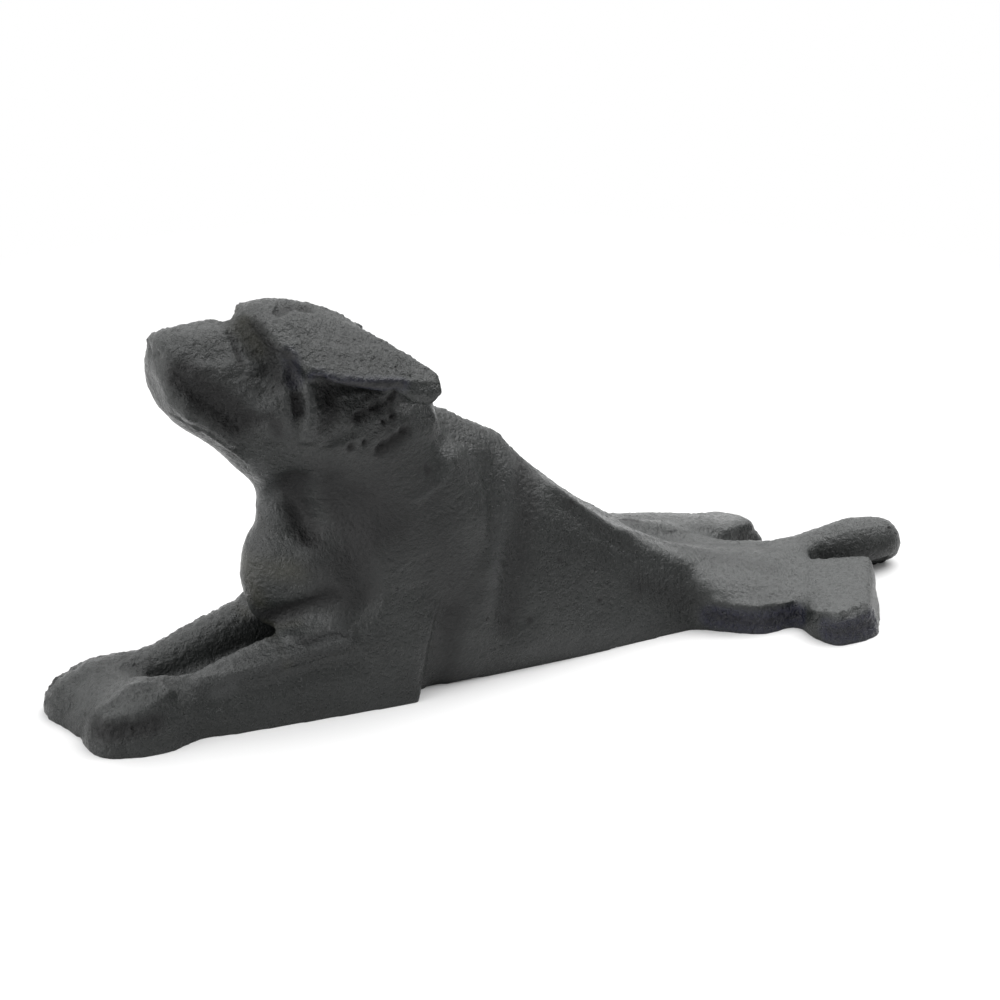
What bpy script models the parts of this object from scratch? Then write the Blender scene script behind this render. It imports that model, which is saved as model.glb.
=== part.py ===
"""Cast iron doorstop: a lying dog, one sand casting.

The dog lies along X with its nose towards -X and its tail towards +X, and Z is up. Its left side faces
-Y. Every size below is in millimetres. Distances along the dog are counted from the tips of its
forepaws, heights from the floor, and widths from the middle plane.

The body is built as a sculptor would in clay. Lofted and rounded masses are run together into one skin,
the modelling tool then presses hollows and raises ridges along short strokes, and the underside is
ground flat.
"""

import math

import bmesh
import bpy
import numpy as np
from mathutils import Vector
from mathutils.bvhtree import BVHTree

MM = 0.001

# Lengths along the dog, which add up to the whole length.
PAW_LENGTH = 21.0
FORELEG_LENGTH = 45.0
TRUNK_LENGTH = 64.0
HIND_LENGTH = 30.0
TAIL_LENGTH = 20.0

# Forequarters. A spread is measured from the middle plane to the middle of the limb.
PAW_WIDTH = 15.3
PAW_HEIGHT = 9.8
NEAR_PAW_LIFT = 2.7
NEAR_PAW_SETBACK = 1.4
PAW_SPREAD = 7.9
WRIST_WIDTH = 11.0
WEB_HEIGHT = 3.6
WRIST_HEIGHT = 10.0
ELBOW_WIDTH = 14.0
ELBOW_HEIGHT = 19.0
ELBOW_SPREAD = 10.0

# Neck and trunk. A reach is measured forward from the elbows.
CHEST_WIDTH = 29.0
CHEST_REACH = 29.0
CHEST_HEIGHT = 24.0
THROAT_REACH = 24.3
THROAT_HEIGHT = 38.5
WITHERS_HEIGHT = 52.6
WAIST_WIDTH = 22.6
RUMP_HEIGHT = 15.2

# Head.
HEAD_TOP = 79.8
HEAD_LENGTH = 52.0
NOSE_REACH = 46.6
SKULL_WIDTH = 30.0
MUZZLE_LENGTH = 16.6
MUZZLE_WIDTH = 18.0
MUZZLE_DEPTH = 18.8
BROW_RISE = 2.6
EAR_SPAN = 35.6
EAR_TIP_HEIGHT = 64.0
EAR_THICKNESS = 2.2
FAR_EAR_SHORTER = 2.0

# Hindquarters and tail.
NEAR_KNEE_SPREAD = 19.6
FOOT_SPREAD = 31.5
NEAR_THIGH_HEIGHT = 5.4
NEAR_FOOT_HEIGHT = 6.4
FAR_KNEE_HEIGHT = 12.5
FAR_FOOT_HEIGHT = 9.0
TAIL_WIDTH = 10.4
TAIL_HEIGHT = 10.8

# How finely the skin is made, and how far the masses run down past the floor before it is ground flat.
GRAIN = 0.8
SOFTENING_PASSES = 6
FACET_SHARE = 0.11
SUNK = 6.0
SHRINKAGE = 0.3
STROKE_STEP = 2.0

ELBOW_X = PAW_LENGTH + FORELEG_LENGTH
RUMP_X = ELBOW_X + TRUNK_LENGTH
FEET_X = RUMP_X + HIND_LENGTH
LENGTH = FEET_X + TAIL_LENGTH
NOSE_X = ELBOW_X - NOSE_REACH
STOP_X = NOSE_X + MUZZLE_LENGTH
NAPE_X = NOSE_X + HEAD_LENGTH
MUZZLE_TOP = HEAD_TOP - BROW_RISE
CHIN = MUZZLE_TOP - MUZZLE_DEPTH
CHEST_X = ELBOW_X - CHEST_REACH
THROAT_X = ELBOW_X - THROAT_REACH


def place(x, y, z):
    """A point given in the dog's own millimetres, in metres about the middle of its base."""
    return ((x - LENGTH / 2) * MM, y * MM, z * MM)


def eased(rows, steps):
    """The rows with others put between them, on one smooth curve through them all."""
    rows = np.array(rows, float)
    along = rows[:, 0]
    slopes = np.gradient(rows, along, axis=0)
    out = []
    for i in range(len(rows) - 1):
        gap = along[i + 1] - along[i]
        for t in np.arange(steps) / steps:
            out.append(
                (2 * t**3 - 3 * t**2 + 1) * rows[i]
                + (t**3 - 2 * t**2 + t) * gap * slopes[i]
                + (3 * t**2 - 2 * t**3) * rows[i + 1]
                + (t**3 - t**2) * gap * slopes[i + 1]
            )
    out.append(rows[-1])
    return np.array(out)


def outline(middle, high, low, wide_high, wide_middle, wide_low):
    """A closed round outline through its top and bottom and its half widths at three levels."""
    depth = high - low
    half = [
        (high, 0.0),
        (high - 0.12 * depth, wide_high),
        (high - 0.5 * depth, wide_middle),
        (low + 0.12 * depth, wide_low),
        (low, 0.0),
    ]
    ring = np.array(half + [(level, -wide) for level, wide in half[-2:0:-1]])
    before = np.roll(ring, 1, axis=0)
    after = np.roll(ring, -1, axis=0)
    beyond = np.roll(ring, -2, axis=0)
    points = []
    for i in range(len(ring)):
        for t in (0.0, 0.25, 0.5, 0.75):
            bend = 2 * before[i] - 5 * ring[i] + 4 * after[i] - beyond[i]
            twist = 3 * ring[i] - before[i] - 3 * after[i] + beyond[i]
            points.append(ring[i] + 0.5 * ((after[i] - before[i]) * t + bend * t**2 + twist * t**3))
    points = np.array(points)
    points[:, 1] += middle
    return points


def rounded_end(at, ring, length, steps=5):
    """Rings that draw in from the last one to a rounded end."""
    centre = ring.mean(axis=0)
    turns = [math.pi / 2 * k / steps for k in range(1, steps)]
    return [(at + length * math.sin(turn), centre + (ring - centre) * math.cos(turn)) for turn in turns]


def loft(name, stations, start_cap=0.0, end_cap=0.0, upright=False):
    """A closed mass through outlines set across the dog, or level ones where upright is set.

    A station holds its place, the middle of its outline, the top, the bottom and three half widths. In an
    upright mass the place is a height, and top and bottom are the front and the rear.
    """
    rings = [(row[0], outline(*row[1:])) for row in eased(stations, 4)]
    if start_cap:
        rings = rounded_end(*rings[0], -start_cap)[::-1] + rings
    if end_cap:
        rings = rings + rounded_end(*rings[-1], end_cap)
    mesh = bmesh.new()
    loops = []
    for at, ring in rings:
        if upright:
            loops.append([mesh.verts.new(place(p, q, at)) for p, q in ring])
        else:
            loops.append([mesh.verts.new(place(at, q, p)) for p, q in ring])
    for one, two in zip(loops, loops[1:]):
        for i in range(len(one)):
            j = (i + 1) % len(one)
            mesh.faces.new((one[i], one[j], two[j], two[i]))
    mesh.faces.new(loops[0])
    mesh.faces.new(loops[-1])
    bmesh.ops.recalc_face_normals(mesh, faces=mesh.faces)
    return keep(name, mesh, masses)


def wrap(name, balls):
    """The tight skin round a few balls, each given as x, y, z and radius."""
    mesh = bmesh.new()
    for x, y, z, radius in balls:
        ball = bmesh.ops.create_icosphere(mesh, subdivisions=2, radius=radius * MM)
        bmesh.ops.translate(mesh, vec=place(x, y, z), verts=ball["verts"])
    wrapped = bmesh.ops.convex_hull(mesh, input=mesh.verts)
    skin = {face for face in wrapped["geom"] if isinstance(face, bmesh.types.BMFace)}
    bmesh.ops.delete(mesh, geom=[face for face in mesh.faces if face not in skin], context="FACES")
    bmesh.ops.recalc_face_normals(mesh, faces=mesh.faces)
    return keep(name, mesh, masses)


def keep(name, mesh, group):
    """Turns a bmesh into an object that only helps to build, and is never part of the casting."""
    data = bpy.data.meshes.new(name)
    mesh.to_mesh(data)
    mesh.free()
    helper = bpy.data.objects.new(name, data)
    helper.hide_render = True
    helper.display_type = "WIRE"
    group.objects.link(helper)
    return helper


def head():
    """Muzzle, brow, skull and cheeks, from the nose to the nape."""
    snout = MUZZLE_WIDTH / 2
    skull = SKULL_WIDTH / 2
    lobe = HEAD_LENGTH - MUZZLE_LENGTH
    stations = [
        (NOSE_X + 1.8, 0, MUZZLE_TOP - 0.1, CHIN + 3.6, 3.6, 6.2, 4),
        (NOSE_X + 0.3 * MUZZLE_LENGTH, 0, MUZZLE_TOP + 0.4, CHIN, 4.6, snout - 1.2, 5),
        (NOSE_X + 0.6 * MUZZLE_LENGTH, 0, MUZZLE_TOP - 0.4, CHIN - 3.9, 4.6, snout, 5.6),
        (NOSE_X + 0.88 * MUZZLE_LENGTH, 0, MUZZLE_TOP - 0.2, CHIN - 8.4, 4.6, snout + 0.7, 6),
        (STOP_X + 0.04 * lobe, 0, HEAD_TOP - 1.1, CHIN - 12.6, 6.5, skull - 3.6, 6.5),
        (STOP_X + 0.14 * lobe, 0, HEAD_TOP, CHIN - 15, 7, skull - 1.6, 8),
        (STOP_X + 0.3 * lobe, 0, HEAD_TOP - 0.8, CHIN - 16, 8.6, skull - 0.6, 10),
        (STOP_X + 0.48 * lobe, 0, HEAD_TOP - 2.8, CHIN - 16, 8.2, skull - 0.8, 12),
        (STOP_X + 0.65 * lobe, 0, HEAD_TOP - 6, CHIN - 16, 7.5, skull - 1.2, 12.5),
        (STOP_X + 0.82 * lobe, 0, HEAD_TOP - 11.5, CHIN - 15, 7, skull - 2, 12),
        (NAPE_X, 0, HEAD_TOP - 18, CHIN - 13, 6, skull - 4, 10),
    ]
    return loft("head_mass", stations, start_cap=1.8, end_cap=4)


def muzzle_planes():
    """The roof of the muzzle, whose two planes slope down to a crease above the lips."""
    edge = 1.5
    lip = MUZZLE_WIDTH / 2 - edge
    top = MUZZLE_TOP - edge
    balls = []
    for side in (-1, 1):
        balls += [
            (NOSE_X + 2, side * 1.4, top - 0.5, edge),
            (NOSE_X + 8, side * 2.4, top, edge),
            (STOP_X, side * 2.6, top - 0.2, edge),
            (NOSE_X + 3.2, side * (lip - 3.2), top - 1.8, edge),
            (NOSE_X + 6, side * (lip - 1), top - 5, edge),
            (NOSE_X + 9, side * (lip - 0.2), top - 6.4, edge),
            (NOSE_X + 12, side * (lip + 0.6), top - 7.6, edge),
            (STOP_X, side * (lip + 1.6), top - 8.4, edge),
        ]
    return wrap("muzzle_mass", balls)


def neck():
    """Breast, throat and neck, as level outlines from the breast up into the head."""
    half = CHEST_WIDTH / 2
    jaw = HEAD_TOP - THROAT_HEIGHT
    rear = ELBOW_X + 17
    stations = [
        (CHEST_HEIGHT - 8, 0, CHEST_X + 1.5, rear - 8, 6.5, half - 1, 12),
        (CHEST_HEIGHT, 0, CHEST_X, rear - 3, 7, half, 12),
        (CHEST_HEIGHT + 0.48 * (THROAT_HEIGHT - CHEST_HEIGHT), 0, CHEST_X + 1, rear, 7, half, 11.5),
        (THROAT_HEIGHT, 0, THROAT_X, rear, 5.5, half - 0.6, 11),
        (THROAT_HEIGHT + 0.14 * jaw, 0, THROAT_X - 3, rear - 2, 5.5, half - 0.6, 10.5),
        (THROAT_HEIGHT + 0.28 * jaw, 0, THROAT_X - 6.6, rear - 5, 6, half - 0.4, 10.5),
        (THROAT_HEIGHT + 0.42 * jaw, 0, THROAT_X - 6, rear - 9, 6.5, half - 0.3, 10.5),
        (THROAT_HEIGHT + 0.57 * jaw, 0, THROAT_X, rear - 13, 7, half - 0.5, 10),
    ]
    return loft("neck_mass", stations, start_cap=3, end_cap=3, upright=True)


def trunk():
    """Back and flanks, from inside the chest to the root of the tail."""
    half = CHEST_WIDTH / 2
    waist = WAIST_WIDTH / 2
    fall = WITHERS_HEIGHT - RUMP_HEIGHT
    low = -SUNK
    run = TRUNK_LENGTH
    stations = [
        (ELBOW_X - 0.25 * run, 0, WITHERS_HEIGHT - 10.6, low, 8, half - 2, half - 2),
        (ELBOW_X - 0.1 * run, 0, WITHERS_HEIGHT - 2, low, 8, half - 1, half - 1.6),
        (ELBOW_X + 0.06 * run, 0, WITHERS_HEIGHT + 1.2, low, 7.5, half - 0.4, half - 1.2),
        (ELBOW_X + 0.17 * run, 0, WITHERS_HEIGHT, low, 7, half - 0.4, half - 1.2),
        (ELBOW_X + 0.28 * run, 0, WITHERS_HEIGHT - 0.11 * fall, low, 7.5, half - 0.7, half - 1.4),
        (ELBOW_X + 0.38 * run, 0, WITHERS_HEIGHT - 0.22 * fall, low, 7.8, half - 1, half - 1.6),
        (ELBOW_X + 0.47 * run, 0, WITHERS_HEIGHT - 0.385 * fall, low, 8, half - 1.4, half - 1.8),
        (ELBOW_X + 0.58 * run, 0, WITHERS_HEIGHT - 0.575 * fall, low, 8.8, half - 2.2, half - 2.2),
        (ELBOW_X + 0.69 * run, 0, WITHERS_HEIGHT - 0.745 * fall, low, 9, half - 2.8, half - 2.7),
        (ELBOW_X + 0.81 * run, 0, WITHERS_HEIGHT - 0.885 * fall, low, 9, waist - 0.2, waist),
        (RUMP_X - 0.06 * run, 0, RUMP_HEIGHT, low, 9.4, waist - 0.3, waist),
        (RUMP_X + 0.13 * HIND_LENGTH, 0, RUMP_HEIGHT - 2.4, low, 8, waist - 0.6, waist - 0.2),
        (RUMP_X + 0.4 * HIND_LENGTH, 0, RUMP_HEIGHT - 4.4, low, 7, 9.5, 10),
        (RUMP_X + 0.73 * HIND_LENGTH, 0, RUMP_HEIGHT - 6, low, 4.5, 6.5, 7),
    ]
    return loft("trunk_mass", stations, end_cap=3)


def back_crest():
    """The flat back behind the withers, and the crest along each side where it meets the flank."""
    run = TRUNK_LENGTH
    fall = WITHERS_HEIGHT - RUMP_HEIGHT
    rows = [
        (0.42, 0.37, 3.4),
        (0.54, 0.52, 5.8),
        (0.63, 0.66, 6.6),
        (0.71, 0.77, 6.8),
        (0.81, 0.88, 7.4),
        (0.9, 0.97, 7.8),
        (0.965, 1.03, 8.2),
    ]
    edge = 1.6
    for one, two in zip(rows, rows[1:]):
        balls = []
        for share, drop, half in (one, two):
            x = ELBOW_X + share * run
            z = WITHERS_HEIGHT - drop * fall
            for side in (-1, 1):
                balls.append((x, side * half, z - edge, edge))
                balls.append((x, side * (half + 1), -SUNK, edge))
        wrap("crest_mass", balls)


def foreleg(side):
    """A foreleg stretched forward on the floor, with its paw. The left paw is plumper and set back."""
    low = -SUNK
    paw = PAW_WIDTH / 2
    wrist = WRIST_WIDTH / 2
    elbow = ELBOW_WIDTH / 2
    rise = ELBOW_HEIGHT - WRIST_HEIGHT
    swell = elbow - wrist
    splay = ELBOW_SPREAD - PAW_SPREAD
    lift = NEAR_PAW_LIFT if side < 0 else 0.0
    front = NEAR_PAW_SETBACK if side < 0 else 0.0
    run = PAW_LENGTH - front
    middle = side * PAW_SPREAD
    stations = [
        (front + 0.24 * run, middle, PAW_HEIGHT + 0.7 * lift - 1.9, low, 4.4, paw - 1.1, paw - 1.6),
        (front + 0.42 * run, middle, PAW_HEIGHT + lift - 0.3, low, 4.8, paw - 0.1, paw - 0.5),
        (front + 0.66 * run, middle, PAW_HEIGHT + 0.8 * lift, low, 4.8, paw, paw),
        (front + 0.86 * run, middle, PAW_HEIGHT + 0.25 * lift, low, 4, paw - 1.2, paw - 0.8),
        (PAW_LENGTH, middle, WRIST_HEIGHT, low, 3.6, wrist, wrist),
    ]
    for share in (0.17, 0.33, 0.5, 0.66, 0.83, 1.0):
        level = WRIST_HEIGHT + rise * math.sin(math.pi / 2 * share)
        half = wrist + swell * share
        middle = side * (PAW_SPREAD + splay * share)
        stations.append((PAW_LENGTH + share * FORELEG_LENGTH, middle, level, low, half - 2, half, half))
    return loft("foreleg_mass", stations, start_cap=0.24 * run + SHRINKAGE)


def paw_bridge():
    """The iron that joins the two paws, and the thin web behind them between the forelegs."""
    low = -SUNK
    inner = PAW_SPREAD - 3.5
    edge = 3.0
    tops = [
        (0.18, PAW_HEIGHT - 5),
        (0.34, PAW_HEIGHT - 1.6),
        (0.55, PAW_HEIGHT - 0.4),
        (0.72, PAW_HEIGHT - 1.6),
        (0.8, PAW_HEIGHT - 4.4),
    ]
    balls = []
    for share, level in tops:
        for side in (-1, 1):
            x = share * PAW_LENGTH + (NEAR_PAW_SETBACK if side < 0 else 0.0)
            balls.append((x, side * inner, level - edge, edge))
            balls.append((x, side * inner, low + edge, edge))
    wrap("paw_bridge_mass", balls)
    edge = 1.5
    web = []
    for x, level in ((0.8 * PAW_LENGTH, WEB_HEIGHT), (CHEST_X + 4, WEB_HEIGHT + 4.5)):
        for side in (-1, 1):
            web.append((x, side * inner, level - edge, edge))
            web.append((x, side * inner, low + edge, edge))
    return wrap("web_mass", web)


def elbow(side):
    """The upper arm, standing proud of the flank with a rear edge that leans back."""
    out = ELBOW_SPREAD + ELBOW_WIDTH / 2
    high = ELBOW_HEIGHT
    edge = 2.6
    return wrap(
        "elbow_mass",
        [
            (ELBOW_X - 4.2, side * (out - edge), -SUNK, edge),
            (ELBOW_X - 2.2, side * (out - edge), high - 16, edge),
            (ELBOW_X + 0.4, side * (out - edge - 0.2), high - 8, edge),
            (ELBOW_X + 2, side * (out - edge - 0.8), high - 3, edge),
            (ELBOW_X + 4.4, side * (out - edge - 2.2), high + 2.6, edge),
            (ELBOW_X - 9, side * (out - 6), high - 7, 5),
            (ELBOW_X - 6, side * (out - 7), high + 3, 5),
            (ELBOW_X + 2, side * (out - 8), high + 8, 5),
        ],
    )


def shoulder(side):
    """The shoulder blade and upper arm, standing a little proud of the chest."""
    half = CHEST_WIDTH / 2
    return wrap(
        "shoulder_mass",
        [
            (ELBOW_X - 5, side * (half - 5), ELBOW_HEIGHT - 7, 6),
            (ELBOW_X - 5, side * (half - 6), ELBOW_HEIGHT + 8, 6.5),
            (ELBOW_X + 8, side * (half - 7.6), WITHERS_HEIGHT - 9.5, 6.5),
            (ELBOW_X + 11.5, side * (half - 8.2), WITHERS_HEIGHT - 19, 8),
            (ELBOW_X + 10, side * (half - 8), ELBOW_HEIGHT - 1, 8),
        ],
    )


def ear(side):
    """An ear folded back. Its plane runs on from the brow, and its edge and tip stand free of the neck."""
    edge = EAR_THICKNESS / 2
    short = FAR_EAR_SHORTER if side > 0 else 0.0
    span = EAR_SPAN / 2 - edge - 0.5 * short
    back = NAPE_X - short
    tip = EAR_TIP_HEIGHT
    return wrap(
        "ear_mass",
        [
            (STOP_X + 2.6, side * 3, HEAD_TOP - 2.6, edge + 0.2),
            (STOP_X + 4.4, side * 6, HEAD_TOP - 3.9, edge + 0.1),
            (STOP_X + 6.2, side * 9, HEAD_TOP - 6.6, edge),
            (STOP_X + 8.6, side * (span - 4), tip + 6.4, edge),
            (STOP_X + 14, side * (span - 1.8), tip + 4.4, edge),
            (STOP_X + 20, side * (span - 0.8), tip + 2.8, edge),
            (back - 7.9, side * (span - 0.3), tip + 1, edge),
            (back - 1.2, side * span, tip - 1.2, edge + 0.1),
            (back - 0.7, side * (span - 2.2), tip + 0.8, edge),
            (back - 2.4, side * (span - 0.8), tip - 2.2, edge),
            (back - 5.2, side * (span - 5), tip + 3.8, edge),
            (back - 8.6, side * (span - 8), tip + 6.4, edge),
            (back - 11.6, side * 4.6, tip + 7.8, edge),
            (STOP_X + 10, side * 1.5, HEAD_TOP - 2, edge + 0.2),
            (STOP_X + 16, side * 1.5, HEAD_TOP - 3.8, edge + 0.2),
        ],
    )


def slab(name, corners):
    """A block whose top runs through the corners, each given as x, y, height and edge radius."""
    low = -SUNK
    top = [(x, y, z - r, r) for x, y, z, r in corners]
    sole = [(x, y, low + r, r) for x, y, z, r in corners]
    return wrap(name, top + sole)


def near_hind_leg():
    """The left hind leg: a low flat thigh with a steep edge, and a broad foot turned out."""
    run = HIND_LENGTH
    knee = NEAR_KNEE_SPREAD
    high = NEAR_THIGH_HEIGHT
    slab(
        "near_thigh_mass",
        [
            (RUMP_X - 0.2 * run, -6, high + 7.6, 2),
            (RUMP_X + 0.02 * run, -knee + 10.4, high + 3.4, 1.6),
            (RUMP_X + 0.14 * run, -knee + 8.2, high + 0.4, 1.6),
            (RUMP_X + 0.24 * run, -knee + 2.4, high, 1.6),
            (RUMP_X + 0.31 * run, -knee + 1.2, high, 1.6),
            (RUMP_X + 0.43 * run, -knee + 1.8, high, 1.6),
            (RUMP_X + 0.64 * run, -knee + 1.8, high + 0.7, 1.6),
            (RUMP_X + 0.9 * run, -2, high + 3.4, 2),
            (RUMP_X, 0, high + 8.4, 2),
        ],
    )
    out = FOOT_SPREAD
    high = NEAR_FOOT_HEIGHT
    corners = [
        (FEET_X - 11.8, -out + 7.4, high - 0.5, 1.8),
        (FEET_X - 10.8, -out + 1.8, high - 0.2, 1.4),
        (FEET_X - 8.2, -out + 1.6, high - 0.2, 1.4),
        (FEET_X - 3.6, -out + 2.8, high, 1.2),
        (FEET_X - 2.2, -out + 6.2, high + 0.4, 1.2),
        (FEET_X + 6.2, -12.0, high + 1.9, 1.2),
        (FEET_X - 6, -8, high + 1.6, 1.8),
    ]
    top = [(x, y, z - r, r) for x, y, z, r in corners]
    sole = [
        (FEET_X - 12, -out + 6.4, -SUNK, 1.4),
        (FEET_X - 9.6, -out + 1.5, -SUNK, 1.4),
        (FEET_X - 0.6, -out + 1.5, -SUNK, 1.4),
        (FEET_X + 8.6, -12.0, -SUNK, 1.2),
        (FEET_X - 11, -9, -SUNK, 1.6),
    ]
    wrap("near_foot_mass", top + sole)


def far_hind_leg():
    """The right hind leg: a higher flat-topped thigh, and a shorter foot that slopes down outwards."""
    run = HIND_LENGTH
    knee = FAR_KNEE_HEIGHT
    foot = FAR_FOOT_HEIGHT
    out = FOOT_SPREAD
    slab(
        "far_thigh_mass",
        [
            (RUMP_X - 0.5 * run, 8, knee + 5, 2.4),
            (RUMP_X - 0.26 * run, 20, knee + 0.6, 2),
            (RUMP_X + 0.12 * run, 21.6, knee - 1.8, 1.8),
            (RUMP_X + 0.57 * run, 23, knee - 5.2, 1.8),
            (FEET_X - 0.2 * run, 22, foot - 4, 1.6),
            (FEET_X - 0.15 * run, 21, foot - 6.6, 1.4),
            (RUMP_X - 0.26 * run, 12, knee + 1.4, 2),
            (RUMP_X + 0.12 * run, 15, knee - 0.8, 2),
            (RUMP_X + 0.57 * run, 15, foot - 0.4, 2),
            (FEET_X - 0.3 * run, 14, foot - 1.2, 1.8),
            (FEET_X - 0.15 * run, 14, foot - 4, 1.8),
        ],
    )
    corners = [
        (FEET_X - 13.4, out - 6.2, foot - 3.6, 2),
        (FEET_X - 11.2, out - 2.0, foot - 5, 2),
        (FEET_X - 4.4, out - 2.0, foot - 5.6, 1.8),
        (FEET_X - 3, out - 7.6, foot - 4.4, 1.6),
        (FEET_X - 6.6, 14, foot - 0.6, 1.8),
        (FEET_X - 13, 12, foot + 0.2, 1.8),
    ]
    slab("far_foot_mass", corners)


def tail():
    """The tail, straight back and low: the thin end that goes under the door."""
    half = TAIL_WIDTH / 2
    low = -SUNK
    stations = [
        (FEET_X - 14, 0, TAIL_HEIGHT - 1.3, low, 4, 6, 6),
        (FEET_X - 3, 0.5, TAIL_HEIGHT - 1.8, 0.6 * low, 3, half - 1, half - 0.9),
        (FEET_X + 0.15 * TAIL_LENGTH, 0, TAIL_HEIGHT - 0.9, 0.4 * low, 3, half - 0.5, half - 1),
        (FEET_X + 0.5 * TAIL_LENGTH, -0.3, TAIL_HEIGHT, 0.2 * low, 3.2, half, half - 1.4),
        (FEET_X + 0.72 * TAIL_LENGTH, -0.4, TAIL_HEIGHT - 0.7, 0.1 * low, 3, half - 0.3, half - 1.8),
    ]
    return loft("tail_mass", stations, end_cap=0.28 * TAIL_LENGTH + SHRINKAGE)


def run_together(group):
    """One closed skin over all the masses, softened where they meet."""
    joined = bmesh.new()
    for mass in group.objects:
        joined.from_mesh(mass.data)
    lump = keep("lump", joined, group)
    fuse = lump.modifiers.new("run together", "REMESH")
    fuse.mode = "VOXEL"
    fuse.voxel_size = GRAIN * MM
    soften = lump.modifiers.new("soften", "SMOOTH")
    soften.factor = 0.5
    soften.iterations = SOFTENING_PASSES
    graph = bpy.context.evaluated_depsgraph_get()
    skin = bpy.data.meshes.new_from_object(lump.evaluated_get(graph))
    bpy.data.objects.remove(lump, do_unlink=True)
    fill_pockets(skin)
    return skin


def fill_pockets(skin):
    """Drops the skins of small pockets shut in between masses, so that the iron is solid there."""
    mesh = bmesh.new()
    mesh.from_mesh(skin)
    unseen = set(mesh.verts)
    shells = []
    while unseen:
        reached = [unseen.pop()]
        for point in reached:
            beside = {edge.other_vert(point) for edge in point.link_edges} & unseen
            unseen -= beside
            reached += beside
        shells.append(reached)
    shells.sort(key=len)
    for pocket in shells[:-1]:
        bmesh.ops.delete(mesh, geom=pocket, context="VERTS")
    mesh.to_mesh(skin)
    mesh.free()


class Clay:
    """The points of a skin, which strokes of the modelling tool press in or raise."""

    def __init__(self, skin):
        self.skin = skin
        self.points = np.empty(len(skin.vertices) * 3)
        skin.vertices.foreach_get("co", self.points)
        self.points = self.points.reshape(-1, 3) / MM
        self.points[:, 0] += LENGTH / 2
        self.normals = np.empty(len(skin.vertices) * 3)
        skin.vertices.foreach_get("normal", self.normals)
        self.normals = self.normals.reshape(-1, 3)
        corners = [Vector(point) for point in self.points]
        self.tree = BVHTree.FromPolygons(corners, [tuple(face.vertices) for face in skin.polygons])

    def found(self, view, spot, side):
        """The place on the skin behind a spot on a view: side (x, z), top (x, y) or front (y, z)."""
        start, way = {
            "side": ((spot[0], side * LENGTH, spot[1]), (0, -side, 0)),
            "top": ((spot[0], side * spot[1], LENGTH), (0, 0, -1)),
            "front": ((-LENGTH, side * spot[0], spot[1]), (1, 0, 0)),
        }[view]
        start = Vector(start)
        way = Vector(way)
        place = self.tree.ray_cast(start, way)[0]
        if place is None:
            place = self.tree.find_nearest(start + way * LENGTH)[0]
        return np.array(place)

    def stroke(self, view, path, width, rise, sides=(-1, 1)):
        """Raises the skin within width of a path drawn on it, or presses it in where rise is negative."""
        path = np.array(path, float)
        spots = [path[0]]
        for start, end in zip(path, path[1:]):
            parts = math.ceil(np.linalg.norm(end - start) / STROKE_STEP)
            spots += [start + (end - start) * (k + 1) / parts for k in range(parts)]
        for side in sides:
            line = [self.found(view, spot, side) for spot in spots]
            nearest = np.full(len(self.points), np.inf)
            for start, end in zip(line, line[1:]):
                run = end - start
                share = np.clip((self.points - start) @ run / (run @ run), 0, 1)
                reach = np.linalg.norm(self.points - start - share[:, None] * run, axis=1)
                nearest = np.minimum(nearest, reach)
            weight = np.clip(1 - (nearest / width) ** 2, 0, 1) ** 2
            self.points += rise * weight[:, None] * self.normals

    def finish(self):
        """Writes the moved points back to the skin."""
        back = self.points.copy()
        back[:, 0] -= LENGTH / 2
        self.skin.vertices.foreach_set("co", (back * MM).ravel())
        self.skin.update()


def model_face(clay):
    """Eye hollows in front of the brows, lips, jaws, nostrils, cheeks and the undercut below the ears."""
    top = HEAD_TOP
    eye = [(STOP_X + 0.2, top - 4), (STOP_X + 2, top - 7), (STOP_X + 4.4, top - 11)]
    clay.stroke("side", eye, 4.2, -1.1)
    nose = NOSE_X
    lip = MUZZLE_TOP
    clay.stroke("side", [(nose + 5, lip - 9.5), (nose + 9, lip - 12), (nose + 14, lip - 15)], 4.4, -0.9)
    clay.stroke("side", [(nose + 2, lip - 11.4), (nose + 8, lip - 16), (nose + 13, lip - 21)], 3.4, 0.9)
    clay.stroke("front", [(1.6, lip - 3), (2.8, lip - 3.2)], 1.4, -0.6)
    cheek = STOP_X + 7.4
    clay.stroke("side", [(cheek - 3, top - 12), (cheek - 3.4, top - 17), (cheek - 5, top - 21)], 4, 0.6)
    clay.stroke("side", [(cheek, top - 9), (cheek, top - 13), (cheek, top - 18)], 2.6, -0.9)
    under = EAR_TIP_HEIGHT
    undercut = [(STOP_X + 13, under + 1), (STOP_X + 24, under - 2), (NAPE_X - 6, under - 4)]
    clay.stroke("side", undercut, 3.6, -1.3)
    clay.stroke("top", [(STOP_X + 8, 3.4), (STOP_X + 11.4, 1), (STOP_X + 15, 2)], 2.2, -0.8, sides=(-1,))


def model_neck(clay):
    """The groove that parts throat and breast from neck and arm, the armpits, and two folds of the neck."""
    high = THROAT_HEIGHT
    elbow_top = ELBOW_HEIGHT
    arm = ELBOW_X - 10.2
    groove = [
        (THROAT_X + 2.8, high + 8),
        (THROAT_X + 3.6, high + 3),
        (THROAT_X + 5, high - 1.4),
        (THROAT_X + 8.4, high - 5),
        (arm - 2, elbow_top + 11.5),
        (arm - 0.4, elbow_top + 7),
        (arm, elbow_top + 2.6),
    ]
    clay.stroke("side", groove, 5, -1.1)
    armpit = [(5, elbow_top - 1.6), (9, elbow_top - 0.6), (12, elbow_top + 1.4)]
    clay.stroke("front", armpit, 4, -1.2)
    fold = CHEST_X + 8
    clay.stroke("side", [(fold, high + 27), (fold, high + 19)], 2.6, 0.6)
    clay.stroke("side", [(fold + 4, high + 26), (fold + 5, high + 18.5)], 2.8, -0.6)


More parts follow.
